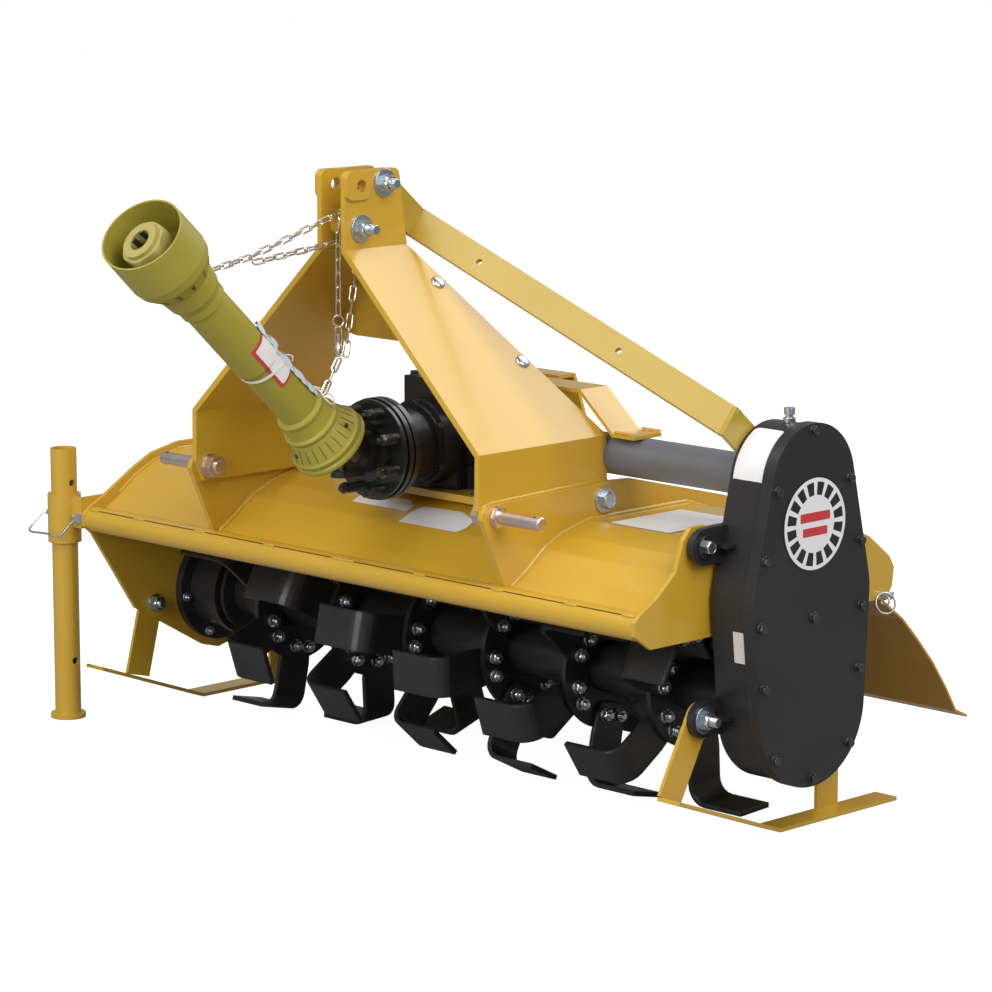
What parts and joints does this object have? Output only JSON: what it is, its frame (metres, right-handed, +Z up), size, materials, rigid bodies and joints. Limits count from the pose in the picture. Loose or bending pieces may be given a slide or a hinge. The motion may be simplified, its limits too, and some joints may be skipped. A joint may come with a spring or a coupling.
{
  "type": "three-point-hitch rotary tiller",
  "caption": "Tractor-mounted rotary tiller with a gear-driven rotor of bent tines under a steel hood, an A-frame hitch, a guarded driveline and a parking stand.",
  "frame": {"origin": "middle of the base of the whole machine's box, on the ground", "axes": "+X to the right seen from the tractor, towards the gear case; +Y rearward; +Z up"},
  "size_m": [1.468, 1.2504, 0.985],
  "materials": {
    "painted_yellow": "gloss",
    "painted_black": "satin",
    "zinc_plated": "plated",
    "guard_plastic": "matte",
    "bare_steel": "bare"
  },
  "bodies": {
    "frame": {"hood": "painted_yellow", "front_pipe": "painted_yellow", "end_plate_left": "painted_yellow", "end_plate_right": "painted_yellow", "mast_plate_right": "painted_yellow", "mast_plate_left": "painted_yellow", "hitch_rib_right": "painted_yellow", "hitch_rib_left": "painted_yellow", "hitch_pin_right": "zinc_plated", "hitch_pin_left": "zinc_plated", "mast_spacer": "painted_yellow", "mast_gusset": "painted_yellow", "mast_brace": "painted_yellow", "mast_pads": "painted_yellow", "tube_strap": "painted_yellow", "gearbox_stay": "painted_yellow", "chain_tractor_end": "zinc_plated", "chain_implement_end": "zinc_plated", "gearbox": "painted_black", "gearbox_base": "painted_yellow", "drive_tube": "painted_black", "gear_casing": "painted_black", "casing_cover": "painted_black", "breather": "zinc_plated", "case_spacer": "painted_black", "skid_right": "painted_yellow", "skid_left": "painted_yellow", "rotor_bearing": "painted_black", "rotor_stub": "painted_black", "hinge_rod": "zinc_plated", "slip_clutch": "painted_black", "clutch_yoke": "painted_black", "joint_cross": "bare_steel", "stand_sleeve": "painted_yellow", "stand_pin": "zinc_plated"},
    "rotor": {"rotor_tube": "painted_black", "rotor_tines": "painted_black"},
    "rear_board": {"rear_board": "painted_yellow"},
    "driveline": {"driveline_yoke": "painted_black", "drive_shaft": "bare_steel", "guard_implement_half": "guard_plastic", "guard_tractor_half": "guard_plastic", "shaft_yoke": "painted_black", "far_cross": "bare_steel", "tractor_yoke": "painted_yellow"},
    "stand": {"stand_leg": "painted_yellow"}
  },
  "joints": [
    {"name": "rotor_spin", "type": "hinge", "parent": "frame", "child": "rotor", "pos_m": [0, 0.1082, 0.2], "axis": [1, 0, 0], "continuous": true},
    {"name": "rear_board_hinge", "type": "hinge", "parent": "frame", "child": "rear_board", "pos_m": [0, 0.3872, 0.322], "axis": [1, 0, 0], "range_deg": [-20, 35]},
    {"name": "driveline_swing", "type": "hinge", "parent": "frame", "child": "driveline", "pos_m": [0, -0.1808, 0.537], "axis": [1, 0, 0], "range_deg": [0, 40]},
    {"name": "stand_slide", "type": "slide", "parent": "frame", "child": "stand", "axis": [0, 0, 1], "range_m": [0, 0.25]}
  ]
}
